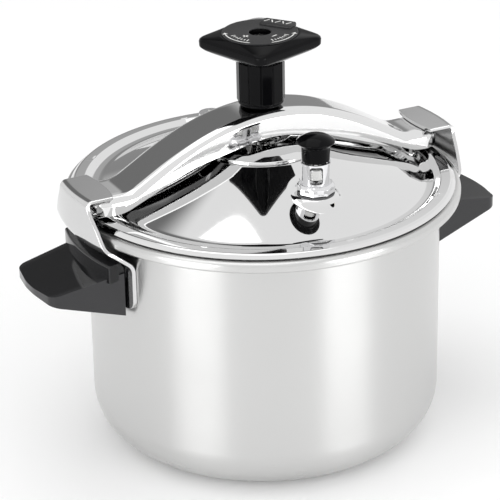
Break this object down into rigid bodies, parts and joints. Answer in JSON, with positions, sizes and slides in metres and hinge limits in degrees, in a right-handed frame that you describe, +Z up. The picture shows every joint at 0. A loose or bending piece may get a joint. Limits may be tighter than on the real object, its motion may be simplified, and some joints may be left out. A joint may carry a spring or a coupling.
{
  "type": "pressure cooker",
  "caption": "Stainless steel pressure cooker with side handles, sliding domed lid, steam valve and an arched stirrup clamped by a screw knob.",
  "frame": {"origin": "centre of the base, on the table", "axes": "+X along the stirrup from one handle to the other, +Z up, -Y towards the steam valve"},
  "size_m": [0.345, 0.268, 0.2869],
  "materials": {
    "pot_steel": "satin",
    "lug_steel": "polished",
    "lid_steel": "mirror polished",
    "stirrup_steel": "polished",
    "hard_steel": "machined",
    "chrome": "polished",
    "brass": "machined",
    "bakelite": "gloss",
    "dial_plate": "satin",
    "rubber": "matte",
    "core_aluminium": "matte"
  },
  "bodies": {
    "pot": {"pot_body": "pot_steel", "base_core": "core_aluminium", "base_cap": "pot_steel", "lug_left": "lug_steel", "lug_right": "lug_steel", "lug_stud_left": "hard_steel", "lug_stud_right": "hard_steel", "handle_left": "bakelite", "handle_right": "bakelite", "handle_screw_left": "hard_steel", "handle_screw_right": "hard_steel"},
    "lid": {"lid_shell": "lid_steel", "lid_gasket": "rubber", "thrust_disc": "lid_steel", "thrust_pad": "hard_steel", "valve_seal": "rubber", "valve_base": "chrome", "valve_nut": "brass", "valve_sleeve": "chrome", "safety_seal": "rubber", "safety_body": "chrome", "safety_nut": "brass", "safety_spring": "hard_steel"},
    "knob": {"spindle": "hard_steel", "knob_stem": "bakelite", "knob_head": "bakelite", "knob_dial": "dial_plate", "knob_washer": "hard_steel", "knob_screw": "hard_steel"},
    "stirrup": {"stirrup": "stirrup_steel", "stirrup_bush": "hard_steel"},
    "valve_weight": {"valve_rod": "hard_steel"},
    "valve_cap": {"valve_cap": "bakelite"},
    "safety_plunger": {"safety_plunger": "hard_steel"}
  },
  "joints": [
    {"name": "lid_slide", "type": "slide", "parent": "pot", "child": "lid", "axis": [0, -1, 0], "range_m": [0, 0.28]},
    {"name": "knob_turn", "type": "hinge", "parent": "lid", "child": "knob", "pos_m": [0, 0, 0.25], "axis": [0, 0, 1], "range_deg": [0, 360]},
    {"name": "stirrup_drop", "type": "slide", "parent": "lid", "child": "stirrup", "axis": [0, 0, -1], "range_m": [0, 0.002]},
    {"name": "valve_lift", "type": "slide", "parent": "lid", "child": "valve_weight", "axis": [0, 0, 1], "range_m": [0, 0.004]},
    {"name": "valve_turn", "type": "hinge", "parent": "valve_weight", "child": "valve_cap", "pos_m": [0.0032, -0.07, 0.22], "axis": [0, 0, 1], "continuous": true},
    {"name": "safety_lift", "type": "slide", "parent": "lid", "child": "safety_plunger", "axis": [0, 0, 1], "range_m": [0, 0.002], "stiffness_N_per_m": 600, "springref_m": -0.002, "deforming": ["safety_spring"]}
  ],
  "couplings": [
    {"joint": "knob_turn", "follows": "stirrup_drop", "rad_per_m": 3141.6}
  ]
}
